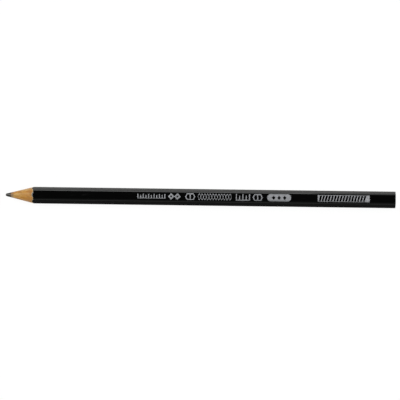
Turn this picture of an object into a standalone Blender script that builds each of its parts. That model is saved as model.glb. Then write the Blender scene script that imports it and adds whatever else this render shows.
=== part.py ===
"""A sharpened hexagonal lead pencil that lies on one of its facets.

The pencil's axis runs along X, with the point towards -X, the cut end towards +X and +Z up. The origin is
below the middle of the axis, on the surface that the pencil lies on. Two grooved slats are glued round a
graphite core, three coats cover the wood, and foil marks lie on the top facet. One sharpening cone trims
the core, the slats, the glue and the coats together.
"""

import bmesh
import bpy
from math import cos, pi, radians, sin, tan
from mathutils import Matrix

MM = 0.001
WELD = 0.0001 * MM

# Sizes over the finished coats
LENGTH = 175.0 * MM
ACROSS_FLATS = 7.0 * MM
CORNER_RADIUS = 1.9 * MM
END_CHAMFER = 0.12 * MM

# The sharpened point
POINT_HALF_ANGLE = radians(14.2)
TIP_RADIUS = 0.64 * MM

# Core, glue and coats, from the middle outwards
CORE_DIAMETER = 2.2 * MM
BOND_FILM = 0.05 * MM
SEAM_FILM = 0.06 * MM
GROUND_COAT = 0.05 * MM
COLOUR_COAT = 0.06 * MM
CLEAR_COAT = 0.03 * MM
FILM_GAP = 0.01 * MM

# Foil marks, laid out from the cut end towards the point
FOIL_FILM = 0.02 * MM
FOIL_STROKE = 0.42 * MM
MARK_EDGE_MARGIN = 0.53 * MM
PLATE_EDGE_MARGIN = 0.38 * MM
MARK_END_MARGIN = 11.7 * MM
LADDER_LENGTH = 23.2 * MM
LADDER_RUNGS = 17
PLATE_LENGTH = 10.7 * MM
PLATE_WINDOWS = 3
LOZENGE_LENGTH = 4.5 * MM
BAR_GROUP_LENGTH = 6.3 * MM
BAR_COUNT = 5
BRAID_LENGTH = 15.0 * MM
BRAID_WAVES = 6
DIAMOND_PAIR_LENGTH = 5.7 * MM
RULE_LENGTH = 12.5 * MM
RULE_HEIGHT = 2.0 * MM
RULE_TICKS = 11
GAP_LADDER_TO_PLATE = 11.9 * MM
GAP_WIDE = 2.0 * MM
GAP_NARROW = 1.2 * MM

# Fineness of the round shapes
TURN_STEPS = 72
CORNER_STEPS = 6
TIP_STEPS = 8
WAVE_STEPS = 12
CAP_STEPS = 12

# How far a blank runs past the finished pencil before it is trimmed
WASTE = 2.0 * MM

# Reach of the stamp that cuts a mark out of the foil leaf, above and below the top facet
STAMP_REACH = 1.0 * MM

APOTHEM = ACROSS_FLATS / 2
TIP_X = -LENGTH / 2
END_X = LENGTH / 2
FACET_WIDTH = 2 * APOTHEM * tan(pi / 6)


def clear_scene():
    for found in list(bpy.data.objects):
        bpy.data.objects.remove(found, do_unlink=True)


def new_collection(name):
    collection = bpy.data.collections.new(name)
    bpy.context.scene.collection.children.link(collection)
    return collection


def new_material(name, colour, roughness, metallic=0.0):
    material = bpy.data.materials.new(name)
    material.use_nodes = True
    shader = material.node_tree.nodes["Principled BSDF"]
    shader.inputs["Base Color"].default_value = (*colour, 1.0)
    shader.inputs["Roughness"].default_value = roughness
    shader.inputs["Metallic"].default_value = metallic
    return material


def add_piece(name, data, collection, parent, material=None):
    piece = bpy.data.objects.new(name, data)
    collection.objects.link(piece)
    piece.parent = parent
    if material:
        data.materials.append(material)
    return piece


def hide_cutter(cutter):
    cutter.hide_render = True
    cutter.display_type = "WIRE"
    return cutter


def add_boolean(piece, cutter, operation):
    boolean = piece.modifiers.new(f"{operation.lower()} {cutter.name}", "BOOLEAN")
    boolean.operation = operation
    boolean.object = cutter
    boolean.solver = "EXACT"


def mesh_from(bm, name, smooth_angle=radians(20)):
    mesh = bpy.data.meshes.new(name)
    bm.to_mesh(mesh)
    bm.free()
    mesh.shade_smooth()
    mesh.set_sharp_from_angle(angle=smooth_angle)
    return mesh


# --- solids that run along the pencil's axis ---


def hexagonal_bar(apothem, corner_radius, start, end, caps=True, corner_steps=CORNER_STEPS):
    """A bar along X with flats at top and bottom and rounded long corners."""
    bm = bmesh.new()
    bmesh.ops.create_cone(
        bm,
        cap_ends=caps,
        segments=6,
        radius1=apothem / cos(pi / 6),
        radius2=apothem / cos(pi / 6),
        depth=end - start,
    )
    bmesh.ops.rotate(bm, verts=bm.verts, matrix=Matrix.Rotation(pi / 2, 3, "Y"))
    bmesh.ops.translate(bm, verts=bm.verts, vec=((start + end) / 2, 0, 0))
    long_edges = [e for e in bm.edges if abs(e.verts[0].co.x - e.verts[1].co.x) > (end - start) / 2]
    bmesh.ops.bevel(
        bm,
        geom=long_edges,
        offset=corner_radius * tan(pi / 6),
        offset_type="OFFSET",
        affect="EDGES",
        segments=corner_steps,
        profile=0.5,
        material=-1,
    )
    return bm


def cone_station(radius):
    """How far behind the tip the sharpening cone has this radius."""
    round_end = TIP_RADIUS * (1 - sin(POINT_HALF_ANGLE))
    return round_end + (radius - TIP_RADIUS * cos(POINT_HALF_ANGLE)) / tan(POINT_HALF_ANGLE)


def pointed_profile(radius):
    """The outline of a turned rod with the sharpened point, from the cut end to the tip."""
    points = [(END_X, 0.0), (END_X, radius), (TIP_X + cone_station(radius), radius)]
    for step in range(TIP_STEPS + 1):
        turn = (pi / 2 - POINT_HALF_ANGLE) * (1 - step / TIP_STEPS)
        points.append((TIP_X + TIP_RADIUS * (1 - cos(turn)), TIP_RADIUS * sin(turn)))
    return points


def turned(name, outline, closed, collection, parent, material=None):
    """A profile turned about the X axis with a Screw modifier."""
    mesh = bpy.data.meshes.new(name)
    edges = [(i, i + 1) for i in range(len(outline) - 1)]
    if closed:
        edges.append((len(outline) - 1, 0))
    mesh.from_pydata([(x, radius, 0.0) for x, radius in outline], edges, [])
    piece = add_piece(name, mesh, collection, parent, material)
    screw = piece.modifiers.new("turn", "SCREW")
    screw.axis = "X"
    screw.angle = 2 * pi
    screw.steps = TURN_STEPS
    screw.render_steps = TURN_STEPS
    screw.use_merge_vertices = True
    screw.merge_threshold = 0.001 * MM
    screw.use_smooth_shade = True
    return piece


def make_trimming_tool(cutters, parent):
    """The space that the finished pencil fills: the sharpening cone in front, the chamfered end behind."""
    tool = turned("trimming_tool", pointed_profile(ACROSS_FLATS), False, cutters, parent)
    # Half a step round, so that no ridge of the cone meets a ridge of the core's groove in one point
    tool.rotation_euler.x = pi / TURN_STEPS
    spare = ACROSS_FLATS / 2
    # One corner step more than the coats have, for the same reason
    bm = hexagonal_bar(
        APOTHEM + spare, CORNER_RADIUS + spare, TIP_X - WASTE, END_X, corner_steps=CORNER_STEPS + 1
    )
    end_rim = [e for e in bm.edges if all(abs(v.co.x - END_X) < FILM_GAP for v in e.verts)]
    bmesh.ops.bevel(
        bm,
        geom=end_rim,
        offset=spare + END_CHAMFER,
        offset_type="OFFSET",
        affect="EDGES",
        segments=1,
        profile=0.5,
        material=-1,
    )
    die = add_piece("end_die", mesh_from(bm, "end_die"), cutters, parent)
    add_boolean(tool, hide_cutter(die), "INTERSECT")
    return hide_cutter(tool)


def make_core(collection, parent, material):
    return turned("graphite_core", pointed_profile(CORE_DIAMETER / 2), False, collection, parent, material)


def make_core_bond(collection, parent, material, tool):
    """The glue film that holds the core in the slats' grooves."""
    inner = CORE_DIAMETER / 2 + FILM_GAP
    outer = inner + BOND_FILM
    outline = [(END_X + WASTE, outer), (TIP_X, outer), (TIP_X, inner), (END_X + WASTE, inner)]
    bond = turned("core_bond", outline, True, collection, parent, material)
    add_boolean(bond, tool, "INTERSECT")
    return bond


def groove_radius():
    return CORE_DIAMETER / 2 + BOND_FILM + 2 * FILM_GAP


def wood_inset():
    """How far the wood lies below the finished surface."""
    return GROUND_COAT + COLOUR_COAT + CLEAR_COAT + 3 * FILM_GAP


def wood_bar():
    inset = wood_inset()
    return hexagonal_bar(APOTHEM - inset, CORNER_RADIUS - inset, TIP_X - WASTE, END_X + WASTE)


def make_groove_cutter(cutters, parent):
    bm = bmesh.new()
    bmesh.ops.create_cone(
        bm,
        cap_ends=True,
        segments=TURN_STEPS,
        radius1=groove_radius(),
        radius2=groove_radius(),
        depth=LENGTH + 4 * WASTE,
    )
    bmesh.ops.rotate(bm, verts=bm.verts, matrix=Matrix.Rotation(pi / 2, 3, "Y"))
    return hide_cutter(add_piece("groove_cutter", mesh_from(bm, "groove_cutter"), cutters, parent))


def make_slat(name, side, collection, parent, material, groove, tool):
    """Half of the wooden barrel, above (side 1) or below (side -1) the glue seams."""
    bm = wood_bar()
    bmesh.ops.bisect_plane(
        bm,
        geom=bm.verts[:] + bm.edges[:] + bm.faces[:],
        dist=FILM_GAP / 100,
        plane_co=(0, 0, side * (SEAM_FILM / 2 + FILM_GAP)),
        plane_no=(0, 0, side),
        clear_inner=True,
    )
    bmesh.ops.holes_fill(bm, edges=[e for e in bm.edges if e.is_boundary], sides=0)
    bmesh.ops.recalc_face_normals(bm, faces=bm.faces)
    slat = add_piece(name, mesh_from(bm, name), collection, parent, material)
    add_boolean(slat, groove, "DIFFERENCE")
    add_boolean(slat, tool, "INTERSECT")
    return slat


def make_glue_seam(name, side, collection, parent, material, blank, tool):
    """The glue film between the slats, on the +Y (side 1) or -Y (side -1) side of the core."""
    inner = groove_radius()
    outer = ACROSS_FLATS
    bm = bmesh.new()
    bmesh.ops.create_cube(bm, size=1.0)
    bmesh.ops.scale(bm, verts=bm.verts, vec=(LENGTH + WASTE, outer - inner, SEAM_FILM))
    bmesh.ops.translate(bm, verts=bm.verts, vec=(0, side * (inner + outer) / 2, 0))
    seam = add_piece(name, mesh_from(bm, name), collection, parent, material)
    add_boolean(seam, blank, "INTERSECT")
    add_boolean(seam, tool, "INTERSECT")
    return seam


def make_coat(name, depth, film, collection, parent, material, tool):
    """One coat, whose outer face lies at this depth below the finished surface."""
    bm = hexagonal_bar(
        APOTHEM - depth, CORNER_RADIUS - depth, TIP_X - WASTE, END_X + WASTE, caps=False
    )
    coat = add_piece(name, mesh_from(bm, name), collection, parent, material)
    solidify = coat.modifiers.new("film", "SOLIDIFY")
    solidify.thickness = film
    solidify.offset = -1
    solidify.use_even_offset = True
    add_boolean(coat, tool, "INTERSECT")
    return coat


# --- foil marks, each an outline with holes, drawn from x = 0 towards +x and centred on y = 0 ---


def comb_outline(length, height, count, rule):
    """Teeth of one width that stand on a rule; every second tooth is short."""
    pitch = (length - FOIL_STROKE) / (count - 1)
    outline = [(0.0, -height / 2), (length, -height / 2)]
    for tooth in reversed(range(count)):
        left = tooth * pitch
        top = height / 2 if tooth % 2 == 0 else height / 4
        outline += [(left + FOIL_STROKE, rule - height / 2), (left + FOIL_STROKE, top)]
        outline += [(left, top), (left, rule - height / 2)]
    return [outline[:2] + outline[3:-1]]


def diamond(middle, half_length, half_height):
    return [
        (middle - half_length, 0.0),
        (middle, -half_height),
        (middle + half_length, 0.0),
        (middle, half_height),
    ]


def diamond_pair_outline(length, height):
    """Two diamonds joined by a narrow neck, each with a window."""
    neck = FOIL_STROKE / 2
    quarter = length / 4
    half = height / 2
    cut = quarter * neck / half
    outline = [(0.0, 0.0), (quarter, -half), (2 * quarter - cut, -neck), (2 * quarter + cut, -neck)]
    outline += [(3 * quarter, -half), (length, 0.0), (3 * quarter, half)]
    outline += [(2 * quarter + cut, neck), (2 * quarter - cut, neck), (quarter, half)]
    windows = [diamond(middle, quarter / 2.6, half / 2.6) for middle in (quarter, 3 * quarter)]
    return [outline, *windows]


def lozenge_outline(length, height):
    """A long hexagon with one bar across its window."""
    def ring(inset):
        nose = height / 4
        half = height / 2 - inset
        return [
            (inset * 1.2, 0.0),
            (nose + inset * 0.6, -half),
            (length - nose - inset * 0.6, -half),
            (length - inset * 1.2, 0.0),
            (length - nose - inset * 0.6, half),
            (nose + inset * 0.6, half),
        ]

    bar = FOIL_STROKE / 2
    middle = length / 2
    left, bottom_left, _, _, _, top_left = ring(FOIL_STROKE)
    window = [left, bottom_left, (middle - bar, bottom_left[1]), (middle - bar, top_left[1]), top_left]
    other = [(length - x, -y) for x, y in window]
    return [ring(0.0), window, other]


def braid_outline(length, height, waves):
    """Two thin ribbons that cross each other at each half wave."""
    swing = height / 2 - FOIL_STROKE / 2
    half_wave = length / (2 * waves)

    def edge(side, outer):
        steps = 2 * waves * WAVE_STEPS
        offset = FOIL_STROKE / 2 if outer else -FOIL_STROKE / 2
        return [
            (length * i / steps, side * (swing * abs(sin(pi * i / WAVE_STEPS)) + offset))
            for i in range(steps + 1)
        ]

    outline = edge(-1, True) + edge(1, True)[::-1]
    loops = [outline]
    slope = swing * pi / half_wave
    start = 0.62 * FOIL_STROKE / slope * 1.6
    for wave in range(2 * waves):
        first = wave * half_wave + start
        last = (wave + 1) * half_wave - start
        lens = []
        for i in range(WAVE_STEPS + 1):
            x = first + (last - first) * i / WAVE_STEPS
            y = swing * sin(pi * (x / half_wave - wave)) - FOIL_STROKE / 2
            lens.append((x, max(y, 0.0)))
        loops.append([(x, -y) for x, y in lens] + lens[-2:0:-1])
    return loops


def plate_outline(length, height, windows):
    """A bar with round ends and a row of diamond windows."""
    half = height / 2
    outline = []
    for end, start_angle in ((length - half, -pi / 2), (half, pi / 2)):
        for i in range(CAP_STEPS + 1):
            turn = start_angle + pi * i / CAP_STEPS
            outline.append((end + half * cos(turn), half * sin(turn)))
    pitch = (length - height) / windows
    middles = [half + pitch * (i + 0.5) for i in range(windows)]
    return [outline] + [diamond(middle, 0.34 * pitch, 0.58 * half) for middle in middles]


def ladder_outline(length, height, rungs):
    """Two rules joined by slanted rungs."""
    half = height / 2
    rule = 0.5 * FOIL_STROKE
    pitch = (length - 2 * FOIL_STROKE) / rungs
    slant = 0.5 * pitch
    loops = [[(0.0, -half), (length, -half), (length, half), (0.0, half)]]
    for rung in range(rungs - 1):
        left = FOIL_STROKE + rung * pitch
        right = left + pitch - FOIL_STROKE
        low, high = -half + rule, half - rule
        loops.append([(left, low), (right, low), (right + slant, high), (left + slant, high)])
    return loops


def make_foil_leaf(cutters, parent):
    """Foil all round the barrel, a hair outside the varnish; each mark is stamped out of it."""
    outside = FILM_GAP + FOIL_FILM
    bm = hexagonal_bar(APOTHEM + outside, CORNER_RADIUS + outside, TIP_X, END_X, caps=False)
    leaf = add_piece("foil_leaf", mesh_from(bm, "foil_leaf"), cutters, parent)
    solidify = leaf.modifiers.new("film", "SOLIDIFY")
    solidify.thickness = FOIL_FILM
    solidify.offset = -1
    solidify.use_even_offset = True
    return hide_cutter(leaf)


def add_foil(name, loops, start, collection, parent, material, leaf):
    """A foil mark on the top facet, bent over its rounded edges; its outline starts at this place."""
    curve = bpy.data.curves.new(name, "CURVE")
    curve.dimensions = "2D"
    curve.fill_mode = "BOTH"
    curve.extrude = STAMP_REACH
    for loop in loops:
        spline = curve.splines.new("POLY")
        spline.points.add(len(loop) - 1)
        for point, (x, y) in zip(spline.points, loop):
            point.co = (x, y, 0.0, 1.0)
        spline.use_cyclic_u = True
    drawn = bpy.data.objects.new(name, curve)
    bm = bmesh.new()
    bm.from_mesh(bpy.data.meshes.new_from_object(drawn))
    bpy.data.objects.remove(drawn)
    bmesh.ops.remove_doubles(bm, verts=bm.verts, dist=WELD)
    bmesh.ops.recalc_face_normals(bm, faces=bm.faces)
    mark = add_piece(name, mesh_from(bm, name), collection, parent, material)
    mark.location = (start, 0.0, APOTHEM)
    add_boolean(mark, leaf, "INTERSECT")
    return mark


def make_imprint(collection, parent, foil, leaf):
    """The row of marks, worked out from the cut end towards the point."""
    height = FACET_WIDTH - 2 * MARK_EDGE_MARGIN
    plate_height = FACET_WIDTH - 2 * PLATE_EDGE_MARGIN
    lozenge = lozenge_outline(LOZENGE_LENGTH, height)
    row = [
        ("foil_ladder_band", LADDER_LENGTH, ladder_outline(LADDER_LENGTH, height, LADDER_RUNGS),
         GAP_LADDER_TO_PLATE),
        ("foil_grade_plate", PLATE_LENGTH, plate_outline(PLATE_LENGTH, plate_height, PLATE_WINDOWS),
         GAP_WIDE),
        ("foil_lozenge_rear", LOZENGE_LENGTH, lozenge, GAP_NARROW),
        ("foil_bar_group", BAR_GROUP_LENGTH,
         comb_outline(BAR_GROUP_LENGTH, height, BAR_COUNT, FOIL_STROKE), GAP_WIDE),
        ("foil_braid", BRAID_LENGTH, braid_outline(BRAID_LENGTH, height, BRAID_WAVES), GAP_NARROW),
        ("foil_lozenge_front", LOZENGE_LENGTH, lozenge, GAP_WIDE),
        ("foil_diamond_pair", DIAMOND_PAIR_LENGTH, diamond_pair_outline(DIAMOND_PAIR_LENGTH, height),
         GAP_NARROW),
        ("foil_tick_rule", RULE_LENGTH,
         comb_outline(RULE_LENGTH, RULE_HEIGHT, RULE_TICKS, FOIL_STROKE / 2), 0.0),
    ]
    end = END_X - MARK_END_MARGIN
    for name, length, loops, gap_in_front in row:
        add_foil(name, loops, end - length, collection, parent, foil, leaf)
        end -= length + gap_in_front


def main():
    clear_scene()
    pencil = new_collection("pencil")
    cutters = new_collection("cutters")

    axis = bpy.data.objects.new("pencil_axis", None)
    pencil.objects.link(axis)
    axis.location = (0.0, 0.0, APOTHEM)

    graphite = new_material("graphite", (0.09, 0.09, 0.10), 0.45)
    wood = new_material("slat_wood", (0.50, 0.26, 0.09), 0.65)
    glue = new_material("wood_glue", (0.55, 0.40, 0.22), 0.50)
    primer = new_material("ground_coat", (0.70, 0.66, 0.58), 0.60)
    lacquer = new_material("black_lacquer", (0.006, 0.006, 0.006), 0.15)
    varnish = new_material("clear_varnish", (0.02, 0.02, 0.02), 0.05)
    foil = new_material("silver_foil", (0.36, 0.37, 0.38), 0.40, metallic=0.6)

    tool = make_trimming_tool(cutters, axis)
    groove = make_groove_cutter(cutters, axis)
    blank = hide_cutter(add_piece("wood_blank", mesh_from(wood_bar(), "wood_blank"), cutters, axis))

    make_core(pencil, axis, graphite)
    make_core_bond(pencil, axis, glue, tool)
    make_slat("upper_slat", 1, pencil, axis, wood, groove, tool)
    make_slat("lower_slat", -1, pencil, axis, wood, groove, tool)
    make_glue_seam("glue_seam_left", 1, pencil, axis, glue, blank, tool)
    make_glue_seam("glue_seam_right", -1, pencil, axis, glue, blank, tool)

    clear_depth = 0.0
    colour_depth = clear_depth + CLEAR_COAT + FILM_GAP
    ground_depth = colour_depth + COLOUR_COAT + FILM_GAP
    make_coat("clear_coat", clear_depth, CLEAR_COAT, pencil, axis, varnish, tool)
    make_coat("colour_coat", colour_depth, COLOUR_COAT, pencil, axis, lacquer, tool)
    make_coat("ground_coat", ground_depth, GROUND_COAT, pencil, axis, primer, tool)

    make_imprint(pencil, axis, foil, make_foil_leaf(cutters, axis))


main()
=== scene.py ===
"""A sharpened hexagonal pencil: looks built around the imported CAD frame.

All sizes are in metres. The pencil's axis lies along X, its point at -X, one facet down on the floor.
"""

import math

import bmesh
import bpy
from mathutils import Matrix, Vector, noise


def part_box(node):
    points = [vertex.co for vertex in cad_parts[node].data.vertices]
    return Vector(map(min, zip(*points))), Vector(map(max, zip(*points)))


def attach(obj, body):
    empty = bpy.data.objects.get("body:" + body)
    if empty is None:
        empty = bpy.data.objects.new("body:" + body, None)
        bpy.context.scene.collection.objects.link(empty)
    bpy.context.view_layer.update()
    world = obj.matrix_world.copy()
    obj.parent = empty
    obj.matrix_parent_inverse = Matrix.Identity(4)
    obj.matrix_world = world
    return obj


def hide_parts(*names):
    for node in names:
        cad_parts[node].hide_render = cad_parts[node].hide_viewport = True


bl_info = {
    "name": "Hexagonal Pencil",
    "version": (1, 0, 0),
    "blender": (4, 5, 0),
    "location": "View3D > Sidebar > Pencil",
    "description": "Builds a sharpened hexagonal pencil with its wood, core, coats and foil marks",
    "category": "Add Mesh",
}

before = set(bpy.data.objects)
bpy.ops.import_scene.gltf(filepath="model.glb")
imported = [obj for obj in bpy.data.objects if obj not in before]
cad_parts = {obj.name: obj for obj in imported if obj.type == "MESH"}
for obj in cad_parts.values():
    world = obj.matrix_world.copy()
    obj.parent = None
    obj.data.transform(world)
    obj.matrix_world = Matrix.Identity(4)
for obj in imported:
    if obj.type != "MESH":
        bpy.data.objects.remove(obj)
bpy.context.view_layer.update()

MM = 0.001

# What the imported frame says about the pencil
FILM_LOW, FILM_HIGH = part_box("clear_coat")
CORE_LOW, CORE_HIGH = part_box("graphite_core")
AXIS_Z = (FILM_LOW.z + FILM_HIGH.z) / 2
TIP_X = CORE_LOW.x
END_X = CORE_HIGH.x
FOIL_NODES = sorted(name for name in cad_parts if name.startswith("foil_"))
SEAM_NODES = sorted(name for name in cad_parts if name.startswith("glue_seam"))


def top_apothem(node):
    """Distance from the pencil's axis to the top flat of a CAD node."""
    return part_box(node)[1].z - AXIS_Z


# Fineness of the meshes
ARC_STEPS = 5  # steps in half a rounded corner
FLAT_STEPS = 20  # steps across a facet
SECTOR_STEPS = 2 * ARC_STEPS + FLAT_STEPS
RING_STEPS = 6 * SECTOR_STEPS
CONE_STEPS = 130  # rows down the sharpened wood
CORE_TURN_STEPS = 120
BALL_STEPS = 14  # rows over the worn ball of the point
CORE_RINGS = 72  # rows down the core's cone
END_BENDS = 8  # rows round the softened edge at the cut end
SHARP_EDGE = math.radians(12)
WELD = 1e-7

# Space between neighbouring films, as in the frame
FILM_GAP = 0.01 * MM

# Wear of the point
CRUMB_GRAIN = 0.22 * MM
CRUMB_DEPTH = 0.035 * MM
CRUMB_REACH = 1.1 * MM  # how far behind the tip the point is worn
CRUMB_PULL = 0.03  # share of the radius that is worn off
RIPPLE_TURN = 2.4  # radians of the sharpener's ripple from row to row

# Unevenness of the cut wood and of the chipped lacquer
WAVE_GRAIN = 3 * MM
WAVE_DEPTH = 0.010 * MM
BLADE_LIFT = 0.8  # share of a spiral mark after which the blade drops back
JAG_GRAIN = 0.42 * MM
SPLINTER_GRAIN = 0.17 * MM


def linear(code):
    """Turns an sRGB hex colour such as #C08A50 into linear red, green and blue."""
    parts = [int(code[k : k + 2], 16) / 255 for k in (1, 3, 5)]
    return tuple(
        c / 12.92 if c <= 0.04045 else ((c + 0.055) / 1.055) ** 2.4 for c in parts
    )


def length(name, description, default):
    """A size in metres that a user may change."""
    return bpy.props.FloatProperty(
        name=name,
        description=description,
        default=default,
        min=0.0,
        precision=5,
        subtype="DISTANCE",
        unit="LENGTH",
    )


def colour(name, description, code):
    """A colour that a user may change."""
    return bpy.props.FloatVectorProperty(
        name=name,
        description=description,
        default=linear(code),
        min=0.0,
        max=1.0,
        size=3,
        subtype="COLOR",
    )


class PencilSizes(bpy.types.PropertyGroup):
    """Sizes of the pencil."""

    length: length("Length", "Blunt tip to cut end", END_X - TIP_X)
    corner_radius: length("Corner Radius", "Rounding of the lacquered corners", 1.9 * MM)
    end_rounding: length("End Rounding", "Rounding of the lacquer at the cut end", 0.12 * MM)
    tip_radius: length("Tip Radius", "Worn ball at the very point", 0.64 * MM)
    half_angle: bpy.props.FloatProperty(
        name="Point Half Angle",
        description="Slope of the sharpened cone against the axis",
        default=math.radians(14.2),
        subtype="ANGLE",
        unit="ROTATION",
    )
    seam_gap: length("Seam Gap", "Space between the slats, with the glue in it", 0.08 * MM)
    edge_chips: length("Edge Chips", "How far the cut lacquer edge is chipped back", 0.60 * MM)
    shaving_pitch: length("Shaving Pitch", "Spacing of the sharpener's spiral marks", 0.42 * MM)
    shaving_depth: length("Shaving Depth", "Height of the sharpener's marks", 0.007 * MM)


class PencilColours(bpy.types.PropertyGroup):
    """Colours of the pencil and its stage."""

    lacquer: colour("Lacquer", "Black colour coat", "#050505")
    foil: colour("Foil", "Stamped marks", "#D6D8DC")
    wood: colour("Wood", "Main tone of the cut wood", "#C08432")
    wood_pale: colour("Pale Wood", "Early wood between the growth lines", "#CFAC66")
    wood_dark: colour("Dark Wood", "Growth lines and fibres", "#9C6425")
    primer: colour("Ground Coat", "Pale filler under the lacquer", "#C6AA7C")
    glue: colour("Glue", "Dried glue in the joints", "#A67F48")
    graphite: colour("Graphite", "Core", "#42413E")
    floor: colour("Floor", "Plain paper floor", "#F2F2F0")
    # painted shade: the card's colour is what the lower facet mirrors in place of a shaded floor
    card: colour("Card", "Dark card seen only in reflections", "#5A5A5A")


# Shape of the hexagon and the cone


def hexagon_point(apothem, corner, column):
    """A point on the rounded hexagon, counted in columns from the middle of the +Y corner."""
    sector, step = divmod(column % RING_STEPS, SECTOR_STEPS)
    reach = (apothem - corner) / math.cos(math.pi / 6)

    def on_corner(which, angle):
        turn = math.pi / 3 * which
        centre = Vector((math.cos(turn), math.sin(turn))) * reach
        return centre + Vector((math.cos(angle), math.sin(angle))) * corner

    facing = math.pi / 3 * sector + math.pi / 6
    if step <= ARC_STEPS:
        angle = math.pi / 3 * sector + math.pi / 6 * step / ARC_STEPS
        return on_corner(sector, angle)
    if step <= ARC_STEPS + FLAT_STEPS:
        share = (step - ARC_STEPS) / FLAT_STEPS
        return on_corner(sector, facing).lerp(on_corner(sector + 1, facing), share)
    share = (step - ARC_STEPS - FLAT_STEPS) / ARC_STEPS
    return on_corner(sector + 1, facing + math.pi / 6 * share)


def cone_station(sizes, radius):
    """Distance behind the tip at which the sharpened cone has that radius."""
    slope = sizes.half_angle
    ball = sizes.tip_radius
    return ball * (1 - math.sin(slope)) + (radius - ball * math.cos(slope)) / math.tan(slope)


def cone_radius(sizes, station):
    """Radius of the sharpened cone at that distance behind the tip."""
    slope = sizes.half_angle
    ball = sizes.tip_radius
    return ball * math.cos(slope) + (station - ball * (1 - math.sin(slope))) * math.tan(slope)


def placed(station, across):
    """A point given by its distance behind the tip and its place across the pencil."""
    return Vector((TIP_X + station, across.x, AXIS_Z + across.y))


def mix(a, b, share):
    """The value that lies that share of the way from a to b."""
    return a + (b - a) * share


def roughened(across, station, grain, seed):
    """Smooth noise from -1 to 1 round the pencil, with features of the size grain."""
    return noise.noise(Vector((station, across.x, across.y)) / grain + Vector((seed, seed, 0)))


# Meshes


def wrapped_grid(rows, columns, place):
    """A grid laid where place says, with its seams welded and its faces turned outward."""
    mesh = bmesh.new()
    bmesh.ops.create_grid(mesh, x_segments=columns, y_segments=rows, size=0.5)
    for vert in mesh.verts:
        column = round((vert.co.x + 0.5) * columns)
        row = round((vert.co.y + 0.5) * rows)
        vert.co = place(row, column)
    bmesh.ops.remove_doubles(mesh, verts=mesh.verts, dist=WELD)
    bmesh.ops.recalc_face_normals(mesh, faces=mesh.faces)
    if mesh.calc_volume(signed=True) < 0:
        bmesh.ops.reverse_faces(mesh, faces=mesh.faces)
    return mesh


def piece(name, mesh, material, slot, *nodes):
    """Makes a finished piece from a bmesh: smooth, with its sharp edges marked, riding on the frame."""
    for face in mesh.faces:
        face.smooth = True
    for edge in mesh.edges:
        edge.smooth = edge.is_manifold and edge.calc_face_angle(0) < SHARP_EDGE
    data = bpy.data.meshes.new(name)
    mesh.to_mesh(data)
    mesh.free()
    data.materials.append(material)
    made = bpy.data.objects.new(name, data)
    bpy.context.scene.collection.objects.link(made)
    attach(made, "root")
    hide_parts(*nodes)
    return made


def repaint(node, material):
    """Gives a CAD node, whose shape is right, its finished material."""
    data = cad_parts[node].data
    data.materials.clear()
    data.materials.append(material)


# Materials

GROWTH_SPACING = 1.1 * MM
WAVE_PERIOD_ONE = math.pi / 10  # wave scale at which one wave is one unit long
SMOOTH = {"interpolation_type": "SMOOTHSTEP"}
COLOURS = {"data_type": "RGBA"}


def add(tree, kind, inputs=None, **settings):
    """Adds a node with its settings; an input is a value, a socket, or a node linked by its first output."""
    made = tree.nodes.new(kind)
    for key, value in settings.items():
        setattr(made, key, value)
    for socket, value in (inputs or {}).items():
        if isinstance(value, bpy.types.Node):
            value = next(out for out in value.outputs if out.enabled)
        if isinstance(value, bpy.types.NodeSocket):
            tree.links.new(value, made.inputs[socket])
        else:
            made.inputs[socket].default_value = value
    return made


def new_material(name):
    """A node material with nothing in it; returns it with its tree and its object coordinates."""
    material = bpy.data.materials.new(name)
    material.use_nodes = True
    tree = material.node_tree
    tree.nodes.clear()
    return material, tree, add(tree, "ShaderNodeTexCoord").outputs["Object"]


def rgba(value):
    """A colour with full alpha."""
    return (*value, 1.0)


def stretched_noise(tree, coords, grain, detail=2.0, shift=0.0, turn=0.0):
    """A pattern whose features are grain = (along, across, up) metres large."""
    mapped = add(
        tree,
        "ShaderNodeMapping",
        {
            "Vector": coords,
            "Location": (shift, shift, shift),
            "Rotation": (0.0, 0.0, turn),
            "Scale": tuple(1 / size for size in grain),
        },
    )
    return add(tree, "ShaderNodeTexNoise", {"Vector": mapped, "Scale": 1.0, "Detail": detail})


def lacquer_material(colours):
    """Cellulose lacquer, dipped in several coats and varnished: deep black with a clear mirror gloss,
    a faint orange peel that bends the reflections, and hair-fine rubs from the box and the hand."""
    material, tree, coords = new_material("dipped_black_lacquer")
    peel = stretched_noise(tree, coords, (2.6 * MM, 1.7 * MM, 1.7 * MM), 1.0)
    fine = stretched_noise(tree, coords, (0.5 * MM, 0.35 * MM, 0.35 * MM), 2.0, 3.1)
    rubs = stretched_noise(tree, coords, (5.0 * MM, 0.09 * MM, 0.09 * MM), 2.0, 7.7, 0.05)
    patches = stretched_noise(tree, coords, (9.0 * MM, 2.5 * MM, 2.5 * MM), 2.0, 1.3)
    rubbed = add(tree, "ShaderNodeMapRange", {0: rubs, 1: 0.61, 2: 0.74, 4: 0.8}, **SMOOTH)
    handled = add(tree, "ShaderNodeMapRange", {0: patches, 1: 0.53, 2: 0.68}, **SMOOTH)
    scuffed = add(tree, "ShaderNodeMath", {0: rubbed, 1: handled}, operation="MULTIPLY")
    black, dulled = rgba(colours.lacquer), rgba(linear("#2A2A29"))
    base = add(tree, "ShaderNodeMix", {0: scuffed, 6: black, 7: dulled}, **COLOURS)
    gloss = add(tree, "ShaderNodeMapRange", {0: fine, 1: 0.3, 2: 0.7, 3: 0.045, 4: 0.09}, **SMOOTH)
    rough = add(tree, "ShaderNodeMath", {0: scuffed, 1: 0.25, 2: gloss}, operation="MULTIPLY_ADD")
    bump = add(tree, "ShaderNodeBump", {"Strength": 1.0, "Distance": 0.0035 * MM, "Height": peel})
    shader = add(
        tree,
        "ShaderNodeBsdfPrincipled",
        {"Base Color": base, "Roughness": rough, "IOR": 1.5, "Normal": bump},
    )
    add(tree, "ShaderNodeOutputMaterial", {"Surface": shader})
    return material


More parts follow.
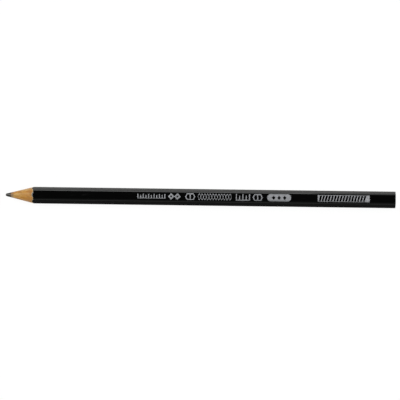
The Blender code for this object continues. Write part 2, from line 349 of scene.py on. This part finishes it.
def foil_material(colours):
    """Aluminium foil, hot-stamped onto the lacquer: satin silver that scatters the light, thin and
    speckled where the stamp pressed less, so that the black shows through in pinholes."""
    material, tree, coords = new_material("stamped_silver_foil")
    pits = stretched_noise(tree, coords, (0.16 * MM, 0.13 * MM, 0.13 * MM), 3.0)
    wear = stretched_noise(tree, coords, (6.0 * MM, 1.6 * MM, 1.6 * MM), 2.0, 4.4)
    grain = stretched_noise(tree, coords, (0.08 * MM, 0.08 * MM, 0.08 * MM), 2.0, 9.2)
    thin = add(tree, "ShaderNodeMapRange", {0: wear, 1: 0.35, 2: 0.75, 3: -0.06, 4: 0.10}, **SMOOTH)
    worn = add(tree, "ShaderNodeMath", {0: pits, 1: thin}, operation="ADD")
    gone = add(tree, "ShaderNodeMapRange", {0: worn, 1: 0.60, 2: 0.68}, **SMOOTH)
    kept = add(tree, "ShaderNodeMath", {0: 1.0, 1: gone}, operation="SUBTRACT")
    dulled = tuple(0.8 * part for part in colours.foil)
    uneven = add(tree, "ShaderNodeMapRange", {0: wear, 1: 0.3, 2: 0.7}, **SMOOTH)
    silver = add(
        tree, "ShaderNodeMix", {0: uneven, 6: rgba(dulled), 7: rgba(colours.foil)}, **COLOURS
    )
    base = add(tree, "ShaderNodeMix", {0: gone, 6: silver, 7: rgba(colours.lacquer)}, **COLOURS)
    satin = add(tree, "ShaderNodeMapRange", {0: grain, 1: 0.3, 2: 0.7, 3: 0.42, 4: 0.56}, **SMOOTH)
    bump = add(tree, "ShaderNodeBump", {"Strength": 1.0, "Distance": 0.003 * MM, "Height": grain})
    shader = add(
        tree,
        "ShaderNodeBsdfPrincipled",
        {"Base Color": base, "Metallic": kept, "Roughness": satin, "Normal": bump},
    )
    add(tree, "ShaderNodeOutputMaterial", {"Surface": shader})
    return material


def wood_material(name, colours, shift, turn, tilt, painted_light_paleness):
    """Incense cedar slat, cut across its fibres by the sharpener and burnished by the blade: warm tan with
    darker growth lines and fibres along the pencil, short dark pores, and a soft sheen on the flanks."""
    material, tree, coords = new_material(name)
    along = add(tree, "ShaderNodeSeparateXYZ", {0: coords})
    lying = add(
        tree,
        "ShaderNodeMapping",
        {
            "Vector": coords,
            "Location": (0.0, 0.3 * shift, shift),
            "Rotation": (tilt, turn, turn),
            "Scale": (1 / (26 * MM), 1 / GROWTH_SPACING, 1 / GROWTH_SPACING),
        },
    )
    rings = add(
        tree,
        "ShaderNodeTexWave",
        {
            "Vector": lying,
            "Scale": WAVE_PERIOD_ONE,
            "Distortion": 2.2,
            "Detail": 2.0,
            "Detail Scale": 0.8,
        },
        wave_type="BANDS",
        bands_direction="Z",
        wave_profile="SAW",
    ).outputs["Fac"]
    broad = stretched_noise(tree, coords, (30 * MM, 1.6 * MM, 2.2 * MM), 2.0, shift, turn)
    fibres = stretched_noise(tree, coords, (5 * MM, 0.13 * MM, 0.13 * MM), 3.0, shift, turn)
    pores = stretched_noise(tree, coords, (0.9 * MM, 0.07 * MM, 0.07 * MM), 1.0, shift, turn)
    flecks = stretched_noise(tree, coords, (2.4 * MM, 0.9 * MM, 0.9 * MM), 2.0, shift + 2)

    tan, pale, dark = rgba(colours.wood), rgba(colours.wood_pale), rgba(colours.wood_dark)
    # painted light: a higher paleness moves the slat towards the pale tone, so it reads lighter as if more
    # lit
    share = add(tree, "ShaderNodeMapRange", {0: broad, 1: 0.38 - painted_light_paleness, 2: 0.62 - painted_light_paleness}, **SMOOTH)
    tone = add(tree, "ShaderNodeMix", {0: share, 6: tan, 7: pale}, **COLOURS)
    share = add(tree, "ShaderNodeMapRange", {0: rings, 1: 0.35, 2: 0.95, 4: 0.42}, **SMOOTH)
    tone = add(tree, "ShaderNodeMix", {0: share, 6: tone, 7: dark}, **COLOURS)
    share = add(tree, "ShaderNodeMapRange", {0: fibres, 1: 0.45, 2: 0.68, 4: 0.38}, **SMOOTH)
    tone = add(tree, "ShaderNodeMix", {0: share, 6: tone, 7: dark}, **COLOURS)
    share = add(tree, "ShaderNodeMapRange", {0: pores, 1: 0.64, 2: 0.74, 4: 0.6}, **SMOOTH)
    tone = add(tree, "ShaderNodeMix", {0: share, 6: tone, 7: rgba(linear("#6E4521"))}, **COLOURS)
    share = add(tree, "ShaderNodeMapRange", {0: flecks, 1: 0.42, 2: 0.62, 4: 0.2}, **SMOOTH)
    tone = add(tree, "ShaderNodeMix", {0: share, 6: tone, 7: rgba(linear("#E2B462"))}, **COLOURS)

    # the last millimetres before the lacquer are redder, rubbed by fingers
    share = add(
        tree,
        "ShaderNodeMapRange",
        {0: along, 1: TIP_X + 7.5 * MM, 2: TIP_X + 12.5 * MM, 4: 0.38},
        **SMOOTH,
    )
    tone = add(tree, "ShaderNodeMix", {0: share, 6: tone, 7: rgba(linear("#A66E3A"))}, **COLOURS)

    # graphite dust dragged onto the wood next to the core
    near = add(
        tree,
        "ShaderNodeMapRange",
        {0: along, 1: TIP_X + 4.4 * MM, 2: TIP_X + 2.5 * MM},
        **SMOOTH,
    )
    share = add(
        tree, "ShaderNodeMapRange", {0: flecks, 1: 0.30, 2: 0.60, 3: 0.35, 4: 0.9}, **SMOOTH
    )
    share = add(tree, "ShaderNodeMath", {0: near, 1: share}, operation="MULTIPLY")
    tone = add(tree, "ShaderNodeMix", {0: share, 6: tone, 7: rgba(linear("#6A6058"))}, **COLOURS)

    height = add(tree, "ShaderNodeMath", {0: pores, 1: -0.8, 2: fibres}, operation="MULTIPLY_ADD")
    bump = add(tree, "ShaderNodeBump", {"Strength": 1.0, "Distance": 0.010 * MM, "Height": height})
    sheen = add(tree, "ShaderNodeMapRange", {0: fibres, 1: 0.3, 2: 0.7, 3: 0.40, 4: 0.58}, **SMOOTH)
    shader = add(
        tree,
        "ShaderNodeBsdfPrincipled",
        {
            "Base Color": tone,
            "Roughness": sheen,
            "IOR": 1.5,
            "Specular IOR Level": 0.28,
            "Sheen Weight": 0.4,
            "Sheen Roughness": 0.45,
            "Normal": bump,
        },
    )
    add(tree, "ShaderNodeOutputMaterial", {"Surface": shader})
    return material


def graphite_material(colours):
    """Graphite and clay, extruded, fired and waxed, then shaved to a point: dark grey with a soft
    metallic sheen and faint turned rings, and tiny bright flakes where the blade smeared it."""
    material, tree, coords = new_material("shaved_graphite")
    rings = stretched_noise(tree, coords, (0.07 * MM, 1.5 * MM, 1.5 * MM), 2.0)
    flakes = stretched_noise(tree, coords, (0.12 * MM, 0.09 * MM, 0.09 * MM), 2.0, 5.5)
    share = add(tree, "ShaderNodeMapRange", {0: flakes, 1: 0.55, 2: 0.75}, **SMOOTH)
    grey, smeared = rgba(colours.graphite), rgba(linear("#615F5B"))
    base = add(tree, "ShaderNodeMix", {0: share, 6: grey, 7: smeared}, **COLOURS)
    sheen = add(tree, "ShaderNodeMapRange", {0: rings, 1: 0.3, 2: 0.7, 3: 0.33, 4: 0.50}, **SMOOTH)
    height = add(tree, "ShaderNodeMath", {0: rings, 1: flakes}, operation="ADD")
    bump = add(tree, "ShaderNodeBump", {"Strength": 1.0, "Distance": 0.006 * MM, "Height": height})
    shader = add(
        tree,
        "ShaderNodeBsdfPrincipled",
        {"Base Color": base, "Metallic": 0.45, "Roughness": sheen, "Normal": bump},
    )
    add(tree, "ShaderNodeOutputMaterial", {"Surface": shader})
    return material


def primer_material(colours):
    """Chalky ground coat, filled and sanded: a matt cream line between wood and lacquer, slightly
    stained by the black above it."""
    material, tree, coords = new_material("sanded_ground_coat")
    chalk = stretched_noise(tree, coords, (0.25 * MM, 0.2 * MM, 0.2 * MM), 3.0)
    share = add(tree, "ShaderNodeMapRange", {0: chalk, 1: 0.45, 2: 0.75}, **SMOOTH)
    cream, stained = rgba(colours.primer), rgba(linear("#8D7A60"))
    base = add(tree, "ShaderNodeMix", {0: share, 6: cream, 7: stained}, **COLOURS)
    bump = add(tree, "ShaderNodeBump", {"Strength": 1.0, "Distance": 0.01 * MM, "Height": chalk})
    shader = add(
        tree, "ShaderNodeBsdfPrincipled", {"Base Color": base, "Roughness": 0.8, "Normal": bump}
    )
    add(tree, "ShaderNodeOutputMaterial", {"Surface": shader})
    return material


def glue_material(colours):
    """White wood glue, pressed thin and dried: an amber line, a little glossier than the wood."""
    material, tree, coords = new_material("dried_wood_glue")
    blobs = stretched_noise(tree, coords, (0.8 * MM, 0.3 * MM, 0.3 * MM), 2.0)
    share = add(tree, "ShaderNodeMapRange", {0: blobs, 1: 0.35, 2: 0.65}, **SMOOTH)
    thin, thick = rgba(colours.glue), rgba(linear("#8C6335"))
    base = add(tree, "ShaderNodeMix", {0: share, 6: thin, 7: thick}, **COLOURS)
    gloss = add(tree, "ShaderNodeMapRange", {0: blobs, 1: 0.3, 2: 0.7, 3: 0.35, 4: 0.50}, **SMOOTH)
    shader = add(tree, "ShaderNodeBsdfPrincipled", {"Base Color": base, "Roughness": gloss})
    add(tree, "ShaderNodeOutputMaterial", {"Surface": shader})
    return material


# Pieces


class PENCIL_OT_core(bpy.types.Operator):
    """Turns the graphite core with its worn, shaved point."""

    bl_idname = "pencil.core"
    bl_label = "Graphite Core"

    def execute(self, context):
        sizes = context.scene.pencil_sizes
        radius = (CORE_HIGH.z - CORE_LOW.z) / 2
        slope, ball = sizes.half_angle, sizes.tip_radius
        profile = []
        for step in range(BALL_STEPS + 1):
            angle = (math.pi / 2 - slope) * step / BALL_STEPS
            profile.append((ball * (1 - math.cos(angle)), ball * math.sin(angle)))
        start = profile[-1][0]
        end = cone_station(sizes, radius)
        for step in range(1, CORE_RINGS + 1):
            station = mix(start, end, step / CORE_RINGS)
            swell = math.sin(math.pi * step / CORE_RINGS)
            ripple = 0.5 * sizes.shaving_depth * math.sin(step * RIPPLE_TURN) * swell
            profile.append((station, cone_radius(sizes, station) - abs(ripple)))
        for share in (0.25, 0.5, 0.75, 1.0):
            profile.append((mix(end, sizes.length, share), radius))
        profile.append((sizes.length, 0.0))
        mesh = bmesh.new()
        verts = [mesh.verts.new(placed(x, Vector((r, 0)))) for x, r in profile]
        edges = [mesh.edges.new(pair) for pair in zip(verts, verts[1:])]
        bmesh.ops.spin(
            mesh,
            geom=verts + edges,
            cent=(0, 0, AXIS_Z),
            axis=(1, 0, 0),
            angle=2 * math.pi,
            steps=CORE_TURN_STEPS,
            use_merge=True,
        )
        bmesh.ops.remove_doubles(mesh, verts=mesh.verts, dist=WELD)
        # the point is worn and crumbled, not a perfect ball
        for vert in mesh.verts:
            station = vert.co.x - TIP_X
            if station < end:
                across = Vector((vert.co.y, vert.co.z - AXIS_Z))
                worn = roughened(across, station, CRUMB_GRAIN, 3.0)
                share = max(0.0, 1 - station / CRUMB_REACH)
                vert.co.x += CRUMB_DEPTH * share * (worn + 1)
                pull = 1 - CRUMB_PULL * share * worn
                vert.co.y *= pull
                vert.co.z = AXIS_Z + (vert.co.z - AXIS_Z) * pull
        bmesh.ops.recalc_face_normals(mesh, faces=mesh.faces)
        material = graphite_material(context.scene.pencil_colours)
        piece("core_turned", mesh, material, "graphite", "graphite_core")
        return {"FINISHED"}


class PENCIL_OT_slats(bpy.types.Operator):
    """Shapes the two wooden slats with their groove for the core and their sharpened cone."""

    bl_idname = "pencil.slats"
    bl_label = "Wooden Slats"

    def execute(self, context):
        sizes = context.scene.pencil_sizes
        colours = context.scene.pencil_colours
        apothem = top_apothem("upper_slat")
        corner = sizes.corner_radius - (top_apothem("clear_coat") - apothem)
        groove = top_apothem("core_bond") + FILM_GAP
        start = cone_station(sizes, groove)
        half = RING_STEPS // 2
        barrel = (0.0, 0.02, 0.1, 0.3, 0.6, 0.9, 1.0)
        face = (0.25, 0.5, 0.75, 1.0)
        rows = CONE_STEPS + len(barrel) - 1 + len(face)
        wide = cone_station(sizes, 1.2 * apothem)

        def slat(side, seed):
            def place(row, column):
                column %= 2 * half + 2
                outside = column <= half
                index = column if outside else 2 * half + 1 - column
                rim = hexagon_point(apothem, corner, index)
                direction = rim.normalized()
                scallop = cone_station(sizes, rim.length)
                inner = direction * groove
                if row <= CONE_STEPS:
                    share = row / CONE_STEPS
                    if outside:
                        station = mix(start, scallop, share)
                        fade = min(1.0, 12 * share, 12 * (1 - share))
                        turn = math.atan2(direction.y, direction.x) / (2 * math.pi)
                        cut = (station / sizes.shaving_pitch + side * turn) % 1.0
                        rise = cut if cut < BLADE_LIFT else (1 - cut) * BLADE_LIFT / (1 - BLADE_LIFT)
                        mark = sizes.shaving_depth * rise
                        wave = WAVE_DEPTH * roughened(direction * 2 * MM, station, WAVE_GRAIN, seed)
                        radius = cone_radius(sizes, station) - fade * (mark + wave)
                        across = direction * (radius if row else groove)
                    else:
                        station = mix(start, wide, share)
                        across = inner
                elif row < CONE_STEPS + len(barrel):
                    share = barrel[row - CONE_STEPS]
                    station = mix(scallop if outside else wide, sizes.length, share)
                    across = rim if outside else inner
                else:
                    share = face[row - CONE_STEPS - len(barrel)]
                    station = sizes.length
                    across = rim.lerp(inner, share) if outside else inner
                across = Vector((across.x, max(across.y, sizes.seam_gap / 2) * side))
                return placed(station, across)

            return wrapped_grid(rows, 2 * half + 2, place)

        upper = wood_material("sharpened_cedar_upper", colours, 0.0, 0.02, 0.5, 0.0)
        # painted light: the lower slat gets a paler tone, standing in for light on the lower flank
        lower = wood_material("sharpened_cedar_lower_painted_light", colours, 11.0, -0.03, -0.9, 0.32)
        piece("slat_upper_wood", slat(1, 1.0), upper, "wood", "upper_slat")
        piece("slat_lower_wood", slat(-1, 8.0), lower, "wood", "lower_slat")
        return {"FINISHED"}


class PENCIL_OT_glue(bpy.types.Operator):
    """Finishes the glue round the core and in the seams."""

    bl_idname = "pencil.glue"
    bl_label = "Glue Lines"

    def execute(self, context):
        material = glue_material(context.scene.pencil_colours)
        for node in ["core_bond", *SEAM_NODES]:
            repaint(node, material)
        return {"FINISHED"}


def coat_shell(sizes, outer, inner, chip_share, rounding):
    """A coat on the hexagonal barrel, cut along the cone in front and rounded at the cut end."""
    film_top = top_apothem("clear_coat")
    lengths = (0.0, 0.004, 0.02, 0.06, 0.15, 0.35, 0.6, 0.85, 0.97, 1.0)
    inside = (0.0, 0.3, 0.7, 0.97, 1.0)
    rows = len(lengths) + END_BENDS + len(inside)

    def corner(apothem):
        return sizes.corner_radius - (film_top - apothem)

    def place(row, column):
        column %= RING_STEPS
        rim = hexagon_point(outer, corner(outer), column)
        bed = hexagon_point(inner, corner(inner), column)
        jag = roughened(rim, 0, JAG_GRAIN, 5.0) + 0.6 * roughened(rim, 0, SPLINTER_GRAIN, 2.0)
        # the thin tongues in the middle of the facets break off first
        tongue = math.sin(math.pi * (column % SECTOR_STEPS) / SECTOR_STEPS)
        chip = sizes.edge_chips * chip_share * max(0.0, 0.10 + 0.90 * tongue + 0.32 * jag)
        front = cone_station(sizes, rim.length) + chip
        bed_front = cone_station(sizes, bed.length) + 0.9 * chip
        if row < len(lengths):
            return placed(mix(front, sizes.length - rounding, lengths[row]), rim)
        row -= len(lengths)
        if row < END_BENDS:
            angle = math.pi / 2 * (row + 1) / END_BENDS
            drop = rounding * (1 - math.cos(angle))
            station = sizes.length - rounding * (1 - math.sin(angle))
            return placed(station, hexagon_point(outer - drop, corner(outer) - drop, column))
        row -= END_BENDS
        if row < len(inside):
            return placed(mix(sizes.length, bed_front, inside[row]), bed)
        return placed(front, rim)

    return wrapped_grid(rows, RING_STEPS, place)


class PENCIL_OT_coats(bpy.types.Operator):
    """Wraps the barrel in its ground coat and its varnished black lacquer."""

    bl_idname = "pencil.coats"
    bl_label = "Ground Coat and Lacquer"

    def execute(self, context):
        sizes = context.scene.pencil_sizes
        colours = context.scene.pencil_colours
        ground = coat_shell(
            sizes, top_apothem("ground_coat"), top_apothem("upper_slat") + FILM_GAP, 0.95, 0.02 * MM
        )
        piece(
            "ground_coat_film", ground, primer_material(colours), "primer", "ground_coat"
        )
        lacquer = coat_shell(
            sizes,
            top_apothem("clear_coat"),
            top_apothem("ground_coat") + FILM_GAP,
            1.0,
            sizes.end_rounding,
        )
        piece(
            "black_lacquer_shell",
            lacquer,
            lacquer_material(colours),
            "lacquer",
            "colour_coat",
            "clear_coat",
        )
        return {"FINISHED"}


class PENCIL_OT_foil_marks(bpy.types.Operator):
    """Finishes the stamped foil marks on the top facet."""

    bl_idname = "pencil.foil_marks"
    bl_label = "Foil Marks"

    def execute(self, context):
        material = foil_material(context.scene.pencil_colours)
        for node in FOIL_NODES:
            repaint(node, material)
        return {"FINISHED"}


# Stage

WHITE = (1.0, 1.0, 1.0)
FLOOR_WIDTH = 8.0
CARD_WIDTH, CARD_DEPTH = 0.5, 0.3
CARD_GAP = 1.2 * MM  # from the barrel's side
CARD_LIFT = 0.1 * MM
CAMERA_DISTANCE = 1.197
CAMERA_TARGET = Vector((-0.0001, -0.0012, AXIS_Z))
CAMERA_ROLL = math.radians(0.831)
LEAN_LEFT, LEAN_FRONT = math.radians(-1.0), math.radians(4.0)


def area_light(name, place, aim, size_x, size_y, power):
    """A soft box at place, turned towards aim."""
    light = bpy.data.lights.new(name, "AREA")
    light.shape = "RECTANGLE"
    light.size, light.size_y = size_x, size_y
    light.energy = power
    lamp = bpy.data.objects.new(name, light)
    lamp.location = place
    lamp.rotation_mode = "QUATERNION"
    lamp.rotation_quaternion = (Vector(aim) - Vector(place)).to_track_quat("-Z", "Y")
    bpy.context.scene.collection.objects.link(lamp)
    return lamp


def flat_sheet(name, width, depth, place, material):
    """A flat sheet of the stage with its middle at place."""
    mesh = bmesh.new()
    bmesh.ops.create_grid(mesh, x_segments=1, y_segments=1, size=0.5)
    bmesh.ops.scale(mesh, vec=(width, depth, 1), verts=mesh.verts)
    bmesh.ops.translate(mesh, vec=place, verts=mesh.verts)
    data = bpy.data.meshes.new(name)
    mesh.to_mesh(data)
    mesh.free()
    data.materials.append(material)
    sheet = bpy.data.objects.new(name, data)
    bpy.context.scene.collection.objects.link(sheet)
    return sheet


def lay_floor(colours):
    """A white paper floor, which the camera sees as nearly even white."""
    material, tree, _ = new_material("white_studio_paper")
    paper = add(tree, "ShaderNodeBsdfDiffuse", {"Color": rgba(colours.floor), "Roughness": 0.3})
    glow = add(tree, "ShaderNodeEmission", {"Color": rgba(WHITE), "Strength": 1.03})
    seen = add(tree, "ShaderNodeLightPath").outputs["Is Camera Ray"]
    share = add(tree, "ShaderNodeMath", {0: seen, 1: 0.92}, operation="MULTIPLY")
    both = add(tree, "ShaderNodeMixShader", {0: share, 1: paper, 2: glow})
    add(tree, "ShaderNodeOutputMaterial", {"Surface": both})
    floor = flat_sheet("paper_floor", FLOOR_WIDTH, FLOOR_WIDTH, (0, 0, 0), material)


def paint_room(scene):
    """A pale wall low behind the pencil, a dim room in front and a dark ceiling."""
    world = bpy.data.worlds.new("studio_room")
    scene.world = world
    world.use_nodes = True
    tree = world.node_tree
    tree.nodes.clear()
    facing = add(tree, "ShaderNodeTexCoord").outputs["Generated"]
    _, way_back, way_up = add(tree, "ShaderNodeSeparateXYZ", {0: facing}).outputs
    behind = add(tree, "ShaderNodeMapRange", {0: way_back, 1: 0.0, 2: 0.3}, **SMOOTH)
    wall = add(tree, "ShaderNodeMapRange", {0: way_up, 1: 0.30, 2: 0.42, 3: 0.90, 4: 0.02}, **SMOOTH)
    front = add(tree, "ShaderNodeMapRange", {0: way_up, 1: 0.12, 2: 0.42, 3: 0.50, 4: 0.12}, **SMOOTH)
    ceiling = add(
        tree, "ShaderNodeMapRange", {0: way_up, 1: 0.74, 2: 0.88, 3: 1.0, 4: 0.15}, **SMOOTH
    )
    room = add(tree, "ShaderNodeMath", {0: front, 1: ceiling}, operation="MULTIPLY")
    light = add(tree, "ShaderNodeMix", {0: behind, 2: room, 3: wall}, data_type="FLOAT")
    seen = add(tree, "ShaderNodeLightPath").outputs["Is Camera Ray"]
    strength = add(tree, "ShaderNodeMix", {0: seen, 2: light, 3: 0.95}, data_type="FLOAT")
    tint = add(
        tree, "ShaderNodeMix", {0: seen, 6: rgba(linear("#F8FCF9")), 7: rgba(WHITE)}, **COLOURS
    )
    sky = add(tree, "ShaderNodeBackground", {"Color": tint, "Strength": strength})
    add(tree, "ShaderNodeOutputWorld", {"Surface": sky})


def set_lights():
    """Soft boxes left and right, a strip behind, and a fill that reflections don't show."""
    area_light("left_window", (-0.60, 0.20, 0.58), (0, 0, 0), 0.50, 0.50, 4.4)
    area_light("right_window", (0.62, 0.10, 0.55), (0, 0, 0), 0.45, 0.45, 3.8)
    fill = area_light("front_fill", (-0.10, -0.60, 0.28), (0, 0, 0), 0.50, 0.30, 0.95)
    fill.visible_glossy = False
    area_light("strip_behind", (-0.07, 0.52, 0.135), (-0.07, 0, 0), 0.27, 0.11, 0.24)


def lay_painted_shade_card(colours):
    """A dark card beside the barrel, seen only in reflections: painted shade that darkens what the lower
    facet mirrors, standing in for shade on the floor there.
    """
    material, tree, _ = new_material("matt_painted_shade_card")
    paper = add(tree, "ShaderNodeBsdfDiffuse", {"Color": rgba(colours.card)})
    add(tree, "ShaderNodeOutputMaterial", {"Surface": paper})
    near = top_apothem("clear_coat") + CARD_GAP
    place = (0, -near - CARD_DEPTH / 2, CARD_LIFT)
    card = flat_sheet("painted_shade_card", CARD_WIDTH, CARD_DEPTH, place, material)
    # hidden from the camera, from diffuse light and from shadows, so it only paints shade into reflections
    card.visible_camera = False
    card.visible_diffuse = False
    card.visible_shadow = False


def place_camera(scene):
    """A long lens looking down on the top facet, leaning a little to the front."""
    camera = bpy.data.cameras.new("camera")
    camera.sensor_width = 36
    camera.lens = 240
    eye = bpy.data.objects.new("camera", camera)
    scene.collection.objects.link(eye)
    back = Vector((-math.sin(LEAN_LEFT), -math.sin(LEAN_FRONT), 1)).normalized()
    up = Matrix.Rotation(CAMERA_ROLL, 3, "Z") @ Vector((0, 1, 0))
    right = up.cross(back).normalized()
    turn = Matrix((right, back.cross(right), back)).transposed()
    place = CAMERA_TARGET + back * CAMERA_DISTANCE
    eye.matrix_world = Matrix.Translation(place) @ turn.to_4x4()
    scene.camera = eye


class PENCIL_OT_stage(bpy.types.Operator):
    """Sets up the floor, the studio light and the camera."""

    bl_idname = "pencil.stage"
    bl_label = "Stage"

    def execute(self, context):
        scene = context.scene
        lay_floor(scene.pencil_colours)
        paint_room(scene)
        set_lights()
        lay_painted_shade_card(scene.pencil_colours)
        place_camera(scene)
        scene.view_settings.view_transform = "Standard"
        scene.view_settings.look = "None"
        return {"FINISHED"}


STEPS = (
    PENCIL_OT_core,
    PENCIL_OT_slats,
    PENCIL_OT_glue,
    PENCIL_OT_coats,
    PENCIL_OT_foil_marks,
    PENCIL_OT_stage,
)


class PENCIL_PT_panel(bpy.types.Panel):
    """Lists the pencil's pieces."""

    bl_idname = "PENCIL_PT_panel"
    bl_label = "Pencil"
    bl_space_type = "VIEW_3D"
    bl_region_type = "UI"
    bl_category = "Pencil"

    def draw(self, context):
        column = self.layout.column(align=True)
        for step in STEPS:
            column.operator(step.bl_idname)
        for group in (context.scene.pencil_sizes, context.scene.pencil_colours):
            for name in group.__annotations__:
                self.layout.prop(group, name)


CLASSES = (PencilSizes, PencilColours, *STEPS, PENCIL_PT_panel)


def register():
    for cls in CLASSES:
        bpy.utils.register_class(cls)
    bpy.types.Scene.pencil_sizes = bpy.props.PointerProperty(type=PencilSizes)
    bpy.types.Scene.pencil_colours = bpy.props.PointerProperty(type=PencilColours)


def unregister():
    del bpy.types.Scene.pencil_colours
    del bpy.types.Scene.pencil_sizes
    for cls in reversed(CLASSES):
        bpy.utils.unregister_class(cls)


def main():
    """Builds every piece and the stage in order."""
    register()
    bpy.ops.pencil.core()
    bpy.ops.pencil.slats()
    bpy.ops.pencil.glue()
    bpy.ops.pencil.coats()
    bpy.ops.pencil.foil_marks()
    bpy.ops.pencil.stage()
    bpy.context.view_layer.update()


if __name__ == "__main__":
    main()
